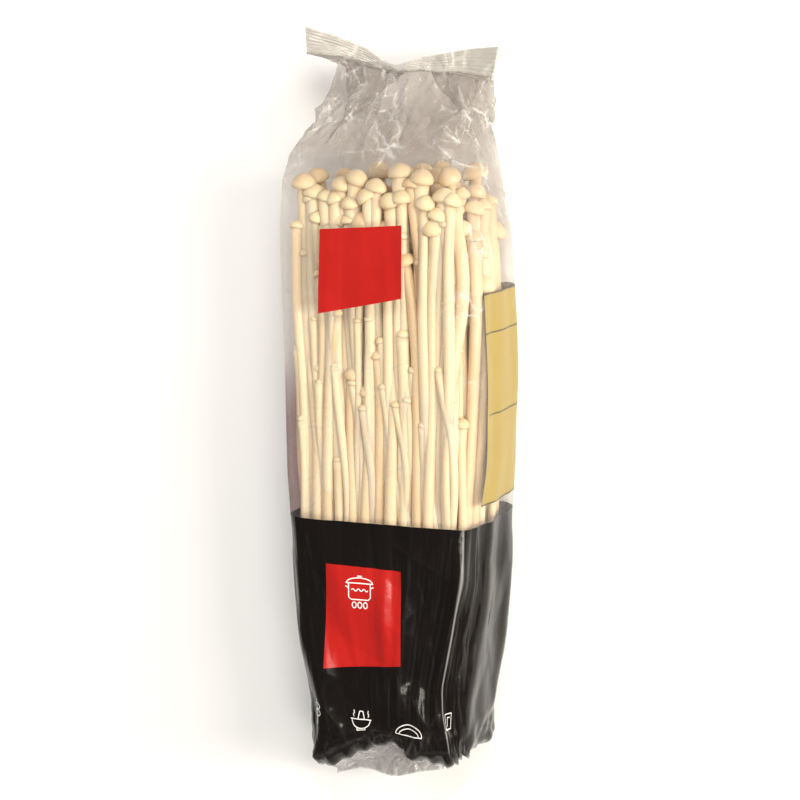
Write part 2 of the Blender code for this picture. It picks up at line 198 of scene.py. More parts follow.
def grid_faces(rows, columns, closed=False):
    """Quads of a grid of rows by columns points; closed joins the last column to the first."""
    across = np.arange(columns if closed else columns - 1)
    low = np.arange(rows - 1)[:, None] * columns
    right = (across + 1) % columns
    corners = (low + across, low + right, low + columns + right, low + columns + across)
    return np.stack(corners, axis=2).reshape(-1, 4)


def close_up(mesh, ends):
    """Joins the points that coincide along a seam, and closes a solid form's open ends with one face each."""
    shape = bmesh.new()
    shape.from_mesh(mesh)
    bmesh.ops.remove_doubles(shape, verts=shape.verts, dist=SEAM_GAP)
    if ends:
        bmesh.ops.holes_fill(shape, edges=shape.edges, sides=0)
    shape.to_mesh(mesh)
    shape.free()


def add_surface(
    name, points, faces, material, uv=None, attributes=None, closed_ends=False
):
    """A mesh object from whole arrays: points (n, 3), faces (m, 4), a UV for each point, float attributes."""
    mesh = bpy.data.meshes.new(name)
    mesh.vertices.add(len(points))
    mesh.vertices.foreach_set("co", np.ascontiguousarray(points, np.float32).ravel())
    mesh.loops.add(faces.size)
    mesh.loops.foreach_set("vertex_index", faces.ravel().astype(np.int32))
    mesh.polygons.add(len(faces))
    mesh.polygons.foreach_set("loop_start", np.arange(0, faces.size, faces.shape[1], dtype=np.int32))
    if uv is not None:
        layer = mesh.uv_layers.new(name="UVMap")
        layer.data.foreach_set("uv", np.ascontiguousarray(uv[faces.ravel()], np.float32).ravel())
    for key, values in (attributes or {}).items():
        layer = mesh.attributes.new(key, "FLOAT", "POINT")
        layer.data.foreach_set("value", np.asarray(values, np.float32).ravel())
    mesh.update(calc_edges=True)
    mesh.validate()
    close_up(mesh, closed_ends)
    mesh.shade_smooth()
    mesh.materials.append(material)
    made = bpy.data.objects.new(name, mesh)
    bpy.context.scene.collection.objects.link(made)
    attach(made, "root")
    return made


class Value:
    """A shader socket that can be used in Python arithmetic; each operator adds its Math node."""

    def __init__(self, tree, socket):
        self.tree, self.socket = tree, socket

    def math(self, operation, other=None, swapped=False):
        node = self.tree.nodes.new("ShaderNodeMath")
        node.operation = operation
        pair = (other, self) if swapped else (self, other)
        for slot, item in zip(node.inputs, pair):
            if item is not None:
                put(self.tree, slot, item)
        return Value(self.tree, node.outputs[0])

    def __add__(self, other):
        return self.math("ADD", other)

    def __sub__(self, other):
        return self.math("SUBTRACT", other)

    def __rsub__(self, other):
        return self.math("SUBTRACT", other, True)

    def __mul__(self, other):
        return self.math("MULTIPLY", other)

    def held(self, low=0.0, high=1.0):
        return self.math("MAXIMUM", low).math("MINIMUM", high)

    __radd__, __rmul__ = __add__, __mul__


def put(tree, slot, item):
    """Links a Value to a socket, or sets the socket to a plain number, colour or vector."""
    if isinstance(item, Value):
        tree.links.new(item.socket, slot)
    elif slot.type == "RGBA" and isinstance(item, tuple) and len(item) == 3:
        slot.default_value = (*item, 1.0)
    else:
        slot.default_value = item


class Finish:
    """A material under construction."""

    def __init__(self, name):
        self.material = bpy.data.materials.new(name)
        self.material.use_nodes = True
        self.tree = self.material.node_tree
        self.tree.nodes.clear()

    def node(self, kind, settings=None, sockets=None, out=0):
        """Any node: its settings first, then its sockets by name or number."""
        node = self.tree.nodes.new(kind)
        for key, item in (settings or {}).items():
            setattr(node, key, item)
        for key, item in (sockets or {}).items():
            put(self.tree, node.inputs[key], item)
        return Value(self.tree, node.outputs[out]) if len(node.outputs) else None

    def coords(self, which="Object"):
        return self.node("ShaderNodeTexCoord", out=which)

    def stretched(self, which, scale):
        """Coordinates scaled on each axis."""
        return self.node("ShaderNodeMapping", None, {"Vector": self.coords(which), "Scale": scale})

    def noise(self, vector, scale, detail=3.0, roughness=0.5, out=0):
        sockets = {"Vector": vector, "Scale": scale, "Detail": detail, "Roughness": roughness}
        return self.node("ShaderNodeTexNoise", None, sockets, out)

    def attribute(self, name):
        return self.node("ShaderNodeAttribute", {"attribute_name": name}, out="Fac")

    def blend(self, factor, first, second):
        """Colour between first and second."""
        node = self.tree.nodes.new("ShaderNodeMix")
        node.data_type = "RGBA"
        for index, item in ((0, factor), (6, first), (7, second)):
            put(self.tree, node.inputs[index], item)
        return Value(self.tree, node.outputs[2])

    def bump(self, height, distance, strength=1.0):
        sockets = {"Height": height, "Distance": distance, "Strength": strength}
        return self.node("ShaderNodeBump", None, sockets)

    def shader(self, **sockets):
        named = {key.replace("_", " "): item for key, item in sockets.items()}
        return self.node("ShaderNodeBsdfPrincipled", None, named)

    def between(self, factor, first, second):
        """Mix Shader: first where factor is 0, second where it is 1."""
        return self.node("ShaderNodeMixShader", None, {0: factor, 1: first, 2: second})

    def done(self, surface):
        self.node("ShaderNodeOutputMaterial", None, {"Surface": surface})
        return self.material


# ---------------------------------------------------------------- finishes
# Darker, browner flesh: partly mushrooms that are darker at random, partly painted shade for those deep in
# the bunch
FLESH_SHADE_AND_DEEP_TONE, SHADE_AND_DEEP_TONE_SHARE = (0.57, 0.37, 0.18), 0.60


def mushroom_finish(name, stem_low, stem_high, cap_colour):
    """Waxy ivory flesh: its colour changes up the stem and on the cap, with fine lengthwise fibres.

    The paleness attribute says how pale a mushroom is painted: partly random, partly painted shade, set
    low for mushrooms deep in the bunch; 0 turns it towards the darker, browner flesh colour.
    """
    f = Finish(name)
    height, tone_and_shade, capped = f.attribute("height"), f.attribute("tone_and_shade"), f.attribute("capped")
    fibres = f.noise(f.stretched("UV", (26, 3.2, 1)), 1.0, 4.0, 0.6)
    mottle = f.noise(f.coords(), 260, 3.0)
    stem = f.blend(height, stem_low, stem_high)
    colour = f.blend(capped, stem, cap_colour)
    # Darker and browner where the paleness attribute is low: partly random colour, partly painted shade
    pale = (tone_and_shade * 1.1 + mottle * 0.25 + fibres * 0.20 - 0.25).held()
    colour = f.blend(pale, f.blend(SHADE_AND_DEEP_TONE_SHARE, colour, FLESH_SHADE_AND_DEEP_TONE), colour)
    fine = f.bump(fibres * (1 - capped * 0.85) + mottle * 0.35, 0.00018, 0.7)
    return f.done(f.shader(
        Base_Color=colour, Roughness=(0.36 + mottle * 0.22).held(), Subsurface_Weight=0.35,
        Subsurface_Radius=(0.0045, 0.0030, 0.0017), Subsurface_Scale=1.0, Specular_IOR_Level=0.42,
        Normal=fine,
    ))


def crinkles(f):
    """Crumpled film: bent cells of two sizes, as (height for a bump, white along their sharp edges: painted
    glints, partly stress-whitened film).
    """
    bending = {0: f.noise(f.coords(), 55, 2.0, out=1), 1: (0.012, 0.012, 0.012), 2: f.coords()}
    bent = f.node("ShaderNodeVectorMath", {"operation": "MULTIPLY_ADD"}, bending)
    cells = {"feature": "DISTANCE_TO_EDGE"}
    large = f.node("ShaderNodeTexVoronoi", cells, {"Vector": bent, "Scale": 95.0})
    small = f.node("ShaderNodeTexVoronoi", cells, {"Vector": bent, "Scale": 240.0})
    patches = ((f.noise(f.coords(), 85, 2.0) - 0.46) * 6.0).held()
    # White along the cell edges, in patches: painted glints, partly film whitened by bending stress
    white_and_glint_lines = ((1 - large * 16.0).held() + (1 - small * 12.0).held() * 0.55) * patches
    return large * 1.6 + small * 0.55, white_and_glint_lines


# A mauve tint painted on the film low on its left side: a painted reflection of mauve surroundings
MAUVE_REFLECTION = (0.48, 0.33, 0.33)


def clear_film_finish(name, tint, haze, veil, rim=0.30, fold_white_and_glint=0.55, lit_tone=None, crisp=1.0):
    """Thin clear film: see-through with a tint, glossy, a little milky, and white along its sharp folds,
    partly as film whitened by bending stress and partly as painted highlight.

    crisp sets the strength of the crumpling and of the painted glints on the cell edges. Given the paler
    tint, the film varies by
    its attributes: that tint is used where no shade is painted and the given tint, a painted shade, where it
    is; a mauve tint is painted on as a reflection of the surroundings; and the attribute for crinkling and
    glints takes the place of crisp.
    """
    f = Finish(name)
    # White along the folds: partly film whitened by bending stress, partly painted highlight
    crease, cloud = f.attribute("crease"), f.noise(f.coords(), 60, 3.0)
    height, white_and_glint_lines = crinkles(f)
    crumpled = f.attribute("crinkle_and_glint") if lit_tone else crisp
    fine = f.bump(cloud * 0.9 + height * crumpled, 0.0030, 0.55)
    edge = f.node("ShaderNodeLayerWeight", None, {"Blend": 0.30, "Normal": fine}, "Facing")
    through = f.node("ShaderNodeBsdfTransparent", None, {"Color": tint})
    film_shade = 1.0
    # Where the painted-shade attribute is 1 the film takes the darker tint: painted shade on the neck and the
    # upper back and right side
    if lit_tone:
        film_shade = f.attribute("film_shade")
        through = f.between(film_shade, f.node("ShaderNodeBsdfTransparent", None, {"Color": lit_tone}), through)
        # The painted mauve reflection, by its attribute
        mauve = f.node("ShaderNodeBsdfTransparent", None, {"Color": MAUVE_REFLECTION})
        through = f.between(f.attribute("mauve_reflection"), through, mauve)
    skin = f.shader(Base_Color=veil, Roughness=0.12, Specular_IOR_Level=0.9, Normal=fine)
    # The milky share is also greater where that shade is painted
    share = (haze * (film_shade * 0.8 + 0.2) if lit_tone else haze) + edge * rim + (cloud - 0.5) * 0.08
    # White mixed in along folds and cell edges: painted highlights and glints, partly stress-whitened film
    share = share + crease * fold_white_and_glint + white_and_glint_lines * crumpled * 0.42
    return f.done(f.between(share.held(0.02, 0.90), through, skin))


def printed_finish(name, colour, deep, roughness=0.2, worn_and_highlight=(0.34, 0.33, 0.33), shine=0.4):
    """Ink on film: an even colour, faintly clouded, glossy like the film over it, and pale along its folds:
    partly ink whitened there, partly a painted highlight.
    """
    f = Finish(name)
    cloud = f.noise(f.coords(), 90, 4.0)
    fine = f.bump(f.noise(f.stretched("UV", (30, 30, 1)), 8.0, 3.0) + cloud, 0.0003, 0.30)
    # Paler along the folds: partly ink whitened there, partly a painted highlight, strongest on the front
    # right fold
    ink = f.blend(f.attribute("crease") * 0.8, f.blend(cloud.held(), deep, colour), worn_and_highlight)
    return f.done(f.shader(Base_Color=ink, Roughness=roughness, Specular_IOR_Level=shine, Normal=fine))


FLESH = mushroom_finish("mushroom_flesh", (0.74, 0.61, 0.44), (0.72, 0.57, 0.38), (0.70, 0.57, 0.37))
ROOT = mushroom_finish("root_flesh", (0.66, 0.52, 0.36), (0.78, 0.66, 0.48), (0.8, 0.7, 0.5))
CLEAR = clear_film_finish(
    "clear_film", (0.77, 0.74, 0.72), 0.10, (0.60, 0.58, 0.56), 0.22, 0.34, lit_tone=(0.95, 0.935, 0.925)
)
SEAL = clear_film_finish("seal_film", (0.74, 0.72, 0.70), 0.38, (0.66, 0.63, 0.59), crisp=0.6)
# The loose film at the bottom: more crumpled, with stronger painted glints on its cell edges
LOOSE = clear_film_finish(
    "clear_film_loose", (0.84, 0.83, 0.83), 0.20, (0.74, 0.72, 0.72), 0.40, 0.75, crisp=1.6
)
BLACK = printed_finish("black_ink", (0.0045, 0.0035, 0.0035), (0.008, 0.006, 0.005), 0.17, shine=0.15)
RED = printed_finish("red_ink", (0.43, 0.012, 0.009), (0.33, 0.008, 0.007), 0.24)
YELLOW = printed_finish("yellow_label", (0.31, 0.225, 0.052), (0.27, 0.190, 0.041), 0.40)
WHITE = printed_finish("white_ink", (0.80, 0.78, 0.76), (0.72, 0.70, 0.69), 0.35)
DARK = printed_finish("dark_ink", (0.06, 0.045, 0.03), (0.05, 0.04, 0.03), 0.35)

# ---------------------------------------------------------------- mushrooms
SIDES = 12
# The cap from its underside to its tip: (share of cap height, share of cap radius)
CAP_LINE = (
    (0.10, 0.50), (-0.01, 0.70), (-0.05, 0.86), (0.00, 0.95), (0.10, 1.00), (0.23, 1.01), (0.38, 0.97),
    (0.53, 0.88), (0.67, 0.75), (0.79, 0.60), (0.88, 0.44), (0.95, 0.27), (0.99, 0.12), (1.00, 0.004),
)


def centre_line(places, y):
    """The stem's centre line at the heights y, with the corners between its straight segments rounded off."""
    spread = np.linspace(-0.010, 0.010, 9)
    reach = np.clip(y[:, None] + spread, 2 * y[:, None] - CROWN_Y - 0.004, None)
    reach = np.clip(reach, LEVELS[0], LEVELS[-1])
    x, z = (np.interp(reach, LEVELS, places[:, k]).mean(axis=1) for k in (0, 1))
    return np.stack([x, y, z + BUNCH_Z], axis=1)


def mushroom(places, start, tip, cap, stem, draw):
    """A profile carried along the stem's centre line, then up the cap's own axis.

    Ring k has its centre on the line at height y_k and the radius r_k. On the stem r is the stem's radius
    with slow swellings; on the cap it follows CAP_LINE. Rings are slightly oval, and the cap leans a little.
    """
    cap_height = CAP_HEIGHT_SHARE * cap
    under = tip - cap_height
    along = np.linspace(0, 1, 26) ** 0.9
    y = start + along * (under - start)
    shape = np.array(CAP_LINE)
    line = centre_line(places, y)
    tangent = np.gradient(line, axis=0)
    tangent /= np.linalg.norm(tangent, axis=1, keepdims=True)
    lean = np.array([draw.normal(0, 0.26), 0.0, draw.normal(0.06, 0.20)])
    axis = tangent[-1] + lean
    axis /= np.linalg.norm(axis)
    centres = np.concatenate([line, line[-1] + np.outer(shape[:, 0] * cap_height, axis)])
    axes = np.concatenate([tangent, np.repeat(axis[None], len(shape), axis=0)])
    swell = 1 + 0.07 * np.sin(along * draw.uniform(5, 11) + draw.uniform(0, 6))
    swell += 0.16 * smoothstep(1 - along, 0.75, 1) + 0.10 * smoothstep(along, 0.93, 1)
    radius = np.concatenate([stem * 1.06 * swell, np.maximum(shape[:, 1] * cap, 1e-5)])
    angle = 2 * math.pi * np.arange(SIDES) / SIDES
    across = np.cross(axes, [0.0, 0.0, 1.0])
    across /= np.linalg.norm(across, axis=1, keepdims=True)
    up = np.cross(across, axes)
    oval, turn = draw.uniform(-0.09, 0.09), draw.uniform(0, math.pi)
    uneven = 1 + oval * np.cos(2 * (angle - turn)) + draw.uniform(-0.04, 0.04) * np.cos(3 * angle + turn)
    ring = np.cos(angle)[None, :, None] * across[:, None] + np.sin(angle)[None, :, None] * up[:, None]
    points = centres[:, None] + ring * (radius[:, None] * uneven)[..., None]
    length = np.concatenate([[0], np.cumsum(np.linalg.norm(np.diff(centres, axis=0), axis=1))])
    is_cap = np.concatenate([np.zeros(len(y)), np.ones(len(shape))])
    tall = np.clip((centres[:, 1] - CUT_Y) / (CROWN_Y - CUT_Y), 0, 1)
    return points, length, is_cap, tall


def add_mushrooms(name, members, material, draw, lit_tone=0.45):
    """One object for several mushrooms (places, start, tip, cap, stem); their usual paleness is lower deeper
    in the bunch, as painted shade.
    """
    points, faces, uv, tone_and_shade, capped, height, count = [], [], [], [], [], [], 0
    for member in members:
        grid, length, is_cap, tall = mushroom(*member, draw)
        rows = len(grid)
        points.append(grid.reshape(-1, 3))
        faces.append(grid_faces(rows, SIDES, closed=True)[:, ::-1] + count)
        around_and_along = np.broadcast_arrays(np.arange(SIDES)[None] / SIDES, length[:, None] * 100)
        uv.append(np.stack(around_and_along, axis=2).reshape(-1, 2))
        # Each mushroom's paleness is random about the group's; the group's value is painted shade
        shade = np.clip(draw.normal(lit_tone, 0.18), 0.05, 1.0)
        tone_and_shade.append(np.full(rows * SIDES, shade))
        capped.append(np.repeat(is_cap, SIDES))
        height.append(np.repeat(tall, SIDES))
        count += rows * SIDES
    return add_surface(
        name, np.concatenate(points), np.concatenate(faces), material, np.concatenate(uv),
        {"tone_and_shade": np.concatenate(tone_and_shade), "capped": np.concatenate(capped), "height": np.concatenate(height)},
        closed_ends=True,
    )


FOOT_DEPTH, STEM_FULLNESS, PRESSED, DRAWN_IN = 0.004, 1.18, 0.10, 0.13


def grow_bunch():
    """The thirty tufts, one object each, standing for the part's tuft nodes.

    The bunch is pressed a little towards its back, and drawn in at the top right, to fit under the mushrooms
    that lie at its front and in the film's neck.
    """
    feet, tuft_of, tip, cap, stem = plan_mushrooms()
    places, tip = settle(feet, tip, cap, stem)
    x, z = places[..., 0], places[..., 1]
    nearer = x * (1 - DRAWN_IN * smoothstep(LEVELS, 0.03, 0.07))
    pressed = z * (1 - PRESSED * smoothstep(LEVELS, -0.06, 0.0)) - 0.0008
    places = np.stack([np.where(x > 0, nearer, x), pressed], axis=2)
    draw = np.random.default_rng(5)
    for tuft in range(TUFT_COLUMNS * TUFT_ROWS):
        members = [
            (places[i], BASE_TOP_Y - FOOT_DEPTH, tip[i], cap[i], STEM_FULLNESS * stem[i])
            for i in np.flatnonzero(tuft_of == tuft)
        ]
        # The inner tufts keep the low default paleness: painted shade deep in the bunch
        made = add_mushrooms(f"tuft_{tuft + 1:02d}_mushrooms", members, FLESH, draw)
        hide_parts(f"tuft_{tuft + 1:02d}")


# Tiers of mushrooms at the front: count, then lowest and highest tip, least and greatest cap radius, and z,
# in millimetres
FRONT_TIERS = (
    (8, 67, 72, 2.9, 3.9, 35.8),
    (10, 61, 67, 2.3, 3.5, 36.6),
    (9, 52, 61, 1.7, 2.7, 36.8),
    (9, 36, 52, 1.4, 2.1, 36.2),
    (11, 16, 34, 1.1, 1.7, 36.8),
    (11, 1, 18, 1.0, 1.6, 37.2),
)
FRONT_LEFT_X, FRONT_RIGHT_X, SHORT_TIP_Y = -28.0, 21.5, 0.030
# Foot line of the front mushrooms, and what the outer ones stand on, in metres
FOOT_HALF_WIDTH, OUTER_COUNT, OUTER_FEET, OUTER_DEPTH = 0.0222, 46, (0.0214, 0.0152), 0.0178
OUTER_START, OUTER_SWEEP = math.radians(54), math.radians(288)


def front_caps(draw):
    """x, tip y, z and cap radius (metres) of the front mushrooms, tier by tier.

    A tier's caps share the width evenly, every second tier half a step over, each moved by up to a third of a
    step. Tips lie at random between the tier's heights, and up to 3 mm lower towards the sides.
    """
    rows = []
    for number, (count, low, high, least, greatest, z) in enumerate(FRONT_TIERS):
        step = (FRONT_RIGHT_X - FRONT_LEFT_X) / count
        steps_over = np.arange(count) + 0.25 + 0.5 * (number % 2) + draw.uniform(-0.33, 0.33, count)
        x = FRONT_LEFT_X + step * steps_over
        side = np.abs(x - (FRONT_LEFT_X + FRONT_RIGHT_X) / 2) / (FRONT_RIGHT_X - FRONT_LEFT_X) * 2
        tip = draw.uniform(low, high, count) - 3.0 * side**2
        rows.append(np.stack([x, tip, z - 0.8 * side**2, draw.uniform(least, greatest, count)], axis=1))
    return np.concatenate(rows) / 1000


def leaning(base, head, tip, draw):
    """Places on LEVELS of a stem from base to head (x, z in metres), eased, with slow sideways waves."""
    base, head = np.array(base), np.array(head)
    risen = np.clip((LEVELS - FOOT_TOP_Y) / (tip - FOOT_TOP_Y), 0, 1)[:, None]
    share = 0.6 * smoothstep(LEVELS, FOOT_TOP_Y, tip + 0.012)[:, None] + 0.4 * risen
    waves = sum(draw.normal(0, 1, 2) * np.sin(k * math.pi * risen) / k**1.3 for k in (1, 2, 3, 4))
    return base + (head - base) * share + waves * np.array([0.0019, 0.0007])


def add_front_mushrooms():
    """The mushrooms at the front, in two objects: those with tips over SHORT_TIP_Y, and the short ones."""
    draw = np.random.default_rng(17)
    caps = front_caps(draw)
    # Stems keep the order of their caps across the bunch, spread evenly over the base
    order = np.argsort(np.argsort(caps[:, 0] + draw.normal(0, 0.0012, len(caps))))
    base_x = -FOOT_HALF_WIDTH + 2 * FOOT_HALF_WIDTH * (order + 0.5) / len(caps)
    members = []
    for (x, tip, z, radius), foot in zip(caps, base_x):
        head = (x, z - BUNCH_Z)
        foot_z = (z - BUNCH_Z) * 0.86 + draw.uniform(-0.0010, 0.0006)
        stem = np.clip(radius * 0.56, 0.00110, 0.00190) * draw.uniform(0.92, 1.08)
        base = (0.5 * foot + 0.44 * x, foot_z)
        members.append((leaning(base, head, tip, draw), BASE_TOP_Y, tip, radius, stem))
    long_ones = [member for member in members if member[2] > SHORT_TIP_Y]
    short_ones = [member for member in members if member[2] <= SHORT_TIP_Y]
    # The front mushrooms are painted paler, as lit
    add_mushrooms("front_mushrooms", long_ones, FLESH, draw, 0.85)
    add_mushrooms("short_front_mushrooms", short_ones, FLESH, draw, 0.95)


def add_outer_mushrooms():
    """Mushrooms round the sides and back: feet and heads on two superellipses, in seeded heights."""
    draw = np.random.default_rng(23)
    along = (np.arange(OUTER_COUNT) + draw.uniform(-0.3, 0.3, OUTER_COUNT)) / (OUTER_COUNT - 1)
    angle = OUTER_START - OUTER_SWEEP * along
    reach = (np.abs(np.cos(angle)) ** 4 + np.abs(np.sin(angle)) ** 4) ** -0.25
    members = []
    for a, r in zip(angle, reach):
        high = draw.random() > 0.42
        tip = 0.066 - draw.uniform(0, 0.022) if high else 0.036 - draw.uniform(0, 0.060)
        radius = draw.uniform(0.0022, 0.0034) if high else draw.uniform(0.0013, 0.0021)
        half_width = 0.0290 if abs(a) > 1.2 else 0.0280 - 0.0034 * smoothstep(tip, 0.035, 0.066)
        direction = r * np.array([math.cos(a), math.sin(a)])
        head = direction * (np.array([half_width, OUTER_DEPTH]) - radius)
        foot = direction * np.array(OUTER_FEET)
        stem = np.clip(radius * 0.52, 0.0009, 0.0016)
        members.append((leaning(foot, head, tip, draw), BASE_TOP_Y, tip, radius, stem))
    for part in range(2):
        # The outer mushrooms are painted a little darker than the front ones, as partly shaded
        add_mushrooms(f"outer_mushrooms_{part + 1}", members[part::2], FLESH, draw, 0.7)


ROOT_SQUARENESS, ROOT_SHARE, RIB_HEIGHT, RIB_COUNTS = 3.4, 0.965, 0.007, (9, 14, 21, 27)


def root_block():
    """The fused base: a rounded-box section drawn along Y, its sides ribbed by the stems that fused in it.

    The section's radius in each direction is a superellipse just inside the base's half sizes, with seeded
    ribs that are sums of cosines.
    """
    draw = np.random.default_rng(8)
    low = CUT_Y + 0.0008
    cut = (low + 0.0002, low, low + 0.0008, low + 0.0025)
    y = np.array([*cut, *np.linspace(low + 0.005, BASE_TOP_Y, 14), BASE_TOP_Y + 0.001])
    shrink = np.array([0.002, 0.93, 0.975, *np.ones(15), 0.93])
    angle = np.linspace(0, 2 * math.pi, 160, endpoint=False)
    cos, sin = np.cos(angle), np.sin(angle)
    squares = (np.abs(2 * side / size) ** ROOT_SQUARENESS for side, size in zip((cos, sin), BASE_SIZE))
    reach = ROOT_SHARE * sum(squares) ** (-1 / ROOT_SQUARENESS)
    ribs = RIB_HEIGHT * sum(draw.normal() * np.cos(k * angle + draw.uniform(0, 6)) for k in RIB_COUNTS)
    radius = shrink[:, None] * reach * (1 + ribs * smoothstep(y, CUT_Y, CUT_Y + 0.01)[:, None])
    points = np.stack([radius * cos, y[:, None] + 0 * radius, radius * sin + BUNCH_Z], axis=2)
    uv = np.stack(np.broadcast_arrays(angle[None] * 3, y[:, None] * 100), axis=2).reshape(-1, 2)
    flat = np.zeros(points.shape[0] * points.shape[1])
    made = add_surface(
        "root_base_flesh", points.reshape(-1, 3), grid_faces(len(y), len(angle), True)[:, ::-1], ROOT, uv,
        {"tone_and_shade": flat + 0.5, "capped": flat, "height": flat + 0.1}, closed_ends=True,
    )
    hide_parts("root_base")


grow_bunch()
add_front_mushrooms()
add_outer_mushrooms()
root_block()

# ---------------------------------------------------------------- the film bag's surface
# Corners and folds round the bag: u in millimetres from the back seam
BACK_RIGHT, SIDE_RIGHT, FRONT_RIGHT = 28.5, 50.0, 71.5
FRONT_LEFT, SIDE_LEFT, BACK_LEFT, GIRTH = 128.5, 150.0, 171.5, 200.0
# Ends along the bag, v in millimetres: of the black print, of the top seal's root and tip, and of the bag
BLACK_TOP, BLACK_BOTTOM, ROOT_V, TIP_V, BOTTOM_V = -29.5, -99.5, 99.0, 106.0, -111.5
# v, left and right half width, front height, back height, gusset tuck (0 to 1), X of the front right fold
LEFT, RIGHT, FRONT, BACK, TUCK, FOLD_X = range(1, 7)
BAG = np.array((
    (-111.5, 24.0, 12.0, 15.6, 14.4, 1.00, 11.6),
    (-107.0, 24.0, 13.6, 16.4, 14.2, 1.00, 13.0),
    (-103.0, 24.0, 18.0, 26.6, 8.4, 0.60, 16.6),
    (-100.0, 24.1, 23.4, 35.6, 3.0, 0.18, 20.0),
    (-97.0, 24.1, 24.4, 39.2, 0.6, 0.00, 20.6),
    (-92.0, 24.2, 24.8, 40.0, 0.0, 0.00, 20.2),
    (-84.0, 24.6, 25.4, 40.2, 0.0, 0.00, 18.6),
    (-76.0, 25.6, 26.2, 40.2, 0.0, 0.00, 18.4),
    (-60.0, 27.0, 27.0, 40.4, 0.0, 0.00, 21.4),
    (-45.0, 28.0, 27.6, 40.8, 0.0, 0.00, 24.0),
    (-31.0, 29.0, 28.1, 41.2, 0.0, 0.00, 25.4),
    (-16.0, 29.7, 28.5, 41.4, 0.0, 0.00, 26.6),
    (8.0, 29.8, 29.0, 42.2, 0.0, 0.00, 27.2),
    (24.0, 29.9, 28.6, 42.8, 0.0, 0.00, 26.8),
    (38.0, 30.3, 28.0, 43.2, 0.0, 0.00, 26.2),
    (53.0, 30.3, 26.8, 43.4, 0.0, 0.00, 25.0),
    (67.0, 29.4, 23.8, 43.0, 0.0, 0.00, 22.0),
    (74.0, 27.0, 22.4, 40.0, 0.8, 0.05, 20.8),
    (80.0, 24.2, 22.4, 34.6, 4.2, 0.25, 21.0),
    (86.0, 22.0, 23.0, 28.0, 9.0, 0.55, 22.2),
    (91.0, 20.2, 24.0, 23.2, 13.0, 0.82, 23.6),
    (96.0, 18.6, 25.4, 20.2, 15.8, 0.97, 25.2),
    (99.0, 21.0, 26.2, 18.8, 17.2, 1.00, 26.0),
    (106.0, 24.0, 27.4, 18.5, 17.5, 1.00, 27.2),
))
# The pinched top seal: (share of the half width, X and Y of its root, X and Y of its tip), in millimetres
SEAL_LINE = np.array((
    (-1.00, -29.8, 101.5, -30.4, 109.0),
    (-0.70, -21.6, 100.4, -21.6, 106.2),
    (-0.45, -14.8, 98.1, -13.6, 103.0),
    (-0.22, -6.9, 96.4, -6.9, 98.8),
    (-0.10, -3.8, 95.8, -3.8, 97.9),
    (0.15, 5.0, 96.3, 4.5, 100.2),
    (0.60, 15.6, 95.6, 17.7, 102.6),
    (1.00, 26.0, 93.9, 27.8, 103.4),
))


def eased(at, table, column, reach=1.6):
    """A table's column at the places at, with its corners rounded: the mean over a short reach."""
    offsets = np.linspace(-reach, reach, 9)
    return np.interp(at[..., None] + offsets, table[:, 0], table[:, column]).mean(axis=-1)


def bag_keys(v):
    """The bag's section at v: (x, z) of its four corners, its two side folds and its panel middles."""
    left, right, front, back, tuck = (eased(v, BAG, column) for column in (LEFT, RIGHT, FRONT, BACK, TUCK))
    middle, half = (front + back) / 2, (front - back) / 2
    inward = tuck * 20.0 * np.sqrt(np.clip(1 - (half / 21.5) ** 2, 0, 1))
    # Low down on the right the film is drawn round the base: its side fold lies further in and further up
    ends = 1 - smoothstep(-v, 96, 103)
    low = smoothstep(-v, 30, 84) * ends
    fold_x, fold_z = eased(v, BAG, FOLD_X), front - 0.4 * low
    side_x = right + 0.3 - inward - 0.8 * low
    side_z = middle + (7.0 * smoothstep(-v, 8, 32) + 8.0 * low) * ends
    return (
        (0.0, (0 * v, back)),
        (BACK_RIGHT, (right, back)),
        (SIDE_RIGHT, (side_x, side_z)),
        (FRONT_RIGHT, (fold_x, fold_z)),
        (GIRTH / 2, (0 * v, front)),
        (FRONT_LEFT, (-left, front)),
        (SIDE_LEFT, (-left - 0.3 + inward, middle)),
        (BACK_LEFT, (-left, back)),
        (GIRTH, (0 * v, back)),
    )


def corner_reach(u, v):
    """Half the length over which a fold is rounded, in millimetres: wide on the body, tight at creases."""
    ends = np.maximum(smoothstep(v, 74, 94), smoothstep(-v, 96, 106))
    soft = (6.5 + 3.5 * smoothstep(-v, 66, 90)) * (1 - ends) + 0.6 * ends
    crisp = np.exp(-((u - FRONT_RIGHT) / 9) ** 2) * smoothstep(-v, 20, 45)
    side = np.exp(-((u - SIDE_RIGHT) / 7) ** 2) * smoothstep(-v, -40, 40)
    return soft * (1 - 0.86 * crisp) * (1 - 0.80 * side)


# The black print's lower edge: (x, how much further up it lies), in millimetres
LOWER_EDGE = ((-24, -3.2), (-19, -5.0), (-11, -0.6), (-3, 3.8), (4, 3.0), (9, -0.6), (15, 0.2), (20, 0.4))
CREASE_WIDTH, CRIMP_HEIGHT, CRIMP_PITCH, TABLE_GAP = 0.22, 0.10, 0.95, 0.06


def triangle_wave(t):
    """0 to 1 and back, with sharp peaks, once for each step of t."""
    return np.abs(2 * (t - np.floor(t + 0.5)))


def crumple(a, b, size, seed, waves=5):
    """Sharp-edged crumpling about 0: triangle waves in seeded directions, each bent by a slow sine."""
    draw = np.random.default_rng(seed)
    total = 0 * a
    for k in range(waves):
        angle, phase, bend = draw.uniform(0, math.pi), draw.uniform(0, 1), draw.uniform(0, 2 * math.pi)
        pace = 1.35**k * draw.uniform(0.8, 1.2) / size
        warp = 0.30 * np.sin((a * math.sin(angle * 2.3) + b * math.cos(angle * 1.7)) * 2.1 / size + bend)
        across = a * math.cos(angle) + b * math.sin(angle)
        total = total + (triangle_wave(pace * across + phase + warp) - 0.5) / (1 + 0.6 * k)
    return total


